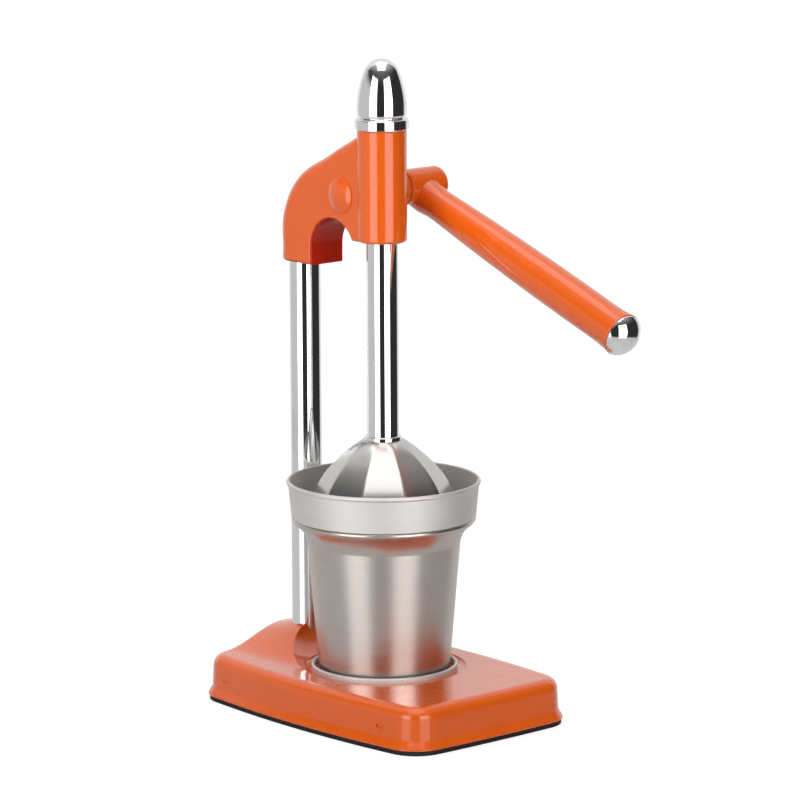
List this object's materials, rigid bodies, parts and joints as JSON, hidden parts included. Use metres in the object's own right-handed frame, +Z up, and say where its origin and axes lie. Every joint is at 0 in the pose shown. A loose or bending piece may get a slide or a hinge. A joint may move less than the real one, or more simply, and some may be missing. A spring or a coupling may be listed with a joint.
{
  "type": "lever citrus juice press",
  "caption": "Upright lever citrus press with an arched head on a column, rack shaft, fluted presser, and a strainer with reamer over a tapered cup on a heavy base.",
  "frame": {"origin": "centre of the underside of the base", "axes": "+Z up, -Y towards the user, the column stands at +Y and the lever is on the +X side"},
  "size_m": [0.141, 0.2679, 0.4],
  "materials": {
    "orange_enamel": "glossy enamel",
    "chrome": "polished",
    "satin_steel": "satin brushed stainless steel",
    "cup_steel": "vertically brushed stainless steel",
    "plain_steel": "plain machined steel",
    "bush_bronze": "sintered bronze",
    "mat_rubber": "matt rubber sheet"
  },
  "bodies": {
    "frame": {"base_shell": "orange_enamel", "base_mat": "mat_rubber", "bottom_plate": "plain_steel", "plate_screws": "plain_steel", "seat_ring": "satin_steel", "column_tube": "chrome", "column_plug": "plain_steel", "column_washer": "plain_steel", "column_bolt": "plain_steel", "head_casting": "orange_enamel", "axle_housing": "orange_enamel", "column_set_screws": "plain_steel", "guide_bush_lower": "bush_bronze", "guide_bush_upper": "bush_bronze", "axle_bush_near": "bush_bronze", "axle_bush_far": "bush_bronze", "dome_cap": "chrome"},
    "lever": {"lever_arm": "orange_enamel", "lever_end_plug": "chrome", "axle": "plain_steel", "pinion": "plain_steel", "pinion_key": "plain_steel", "pinion_washers": "bush_bronze", "hub_washer": "plain_steel", "hub_set_screw": "plain_steel", "axle_end_screw": "plain_steel"},
    "plunger": {"rack_shaft": "chrome", "shaft_collar": "chrome", "presser_bell": "satin_steel", "presser_washer": "plain_steel", "presser_screw": "plain_steel"},
    "cup": {"juice_cup": "cup_steel"},
    "strainer": {"strainer_bowl": "satin_steel", "reamer_cone": "satin_steel"}
  },
  "joints": [
    {"name": "lever_turn", "type": "hinge", "parent": "frame", "child": "lever", "pos_m": [0, 0.022, 0.3165], "axis": [-1, 0, 0], "range_deg": [0, 200]},
    {"name": "presser_slide", "type": "slide", "parent": "frame", "child": "plunger", "axis": [0, 0, 1], "range_m": [0, 0.0525]},
    {"name": "cup_turn", "type": "hinge", "parent": "frame", "child": "cup", "pos_m": [0, -0.001, 0.0263], "axis": [0, 0, 1], "continuous": true},
    {"name": "strainer_turn", "type": "hinge", "parent": "cup", "child": "strainer", "pos_m": [0, -0.001, 0.1221], "axis": [0, 0, 1], "continuous": true}
  ],
  "couplings": [
    {"joint": "presser_slide", "follows": "lever_turn", "m_per_rad": 0.015}
  ]
}
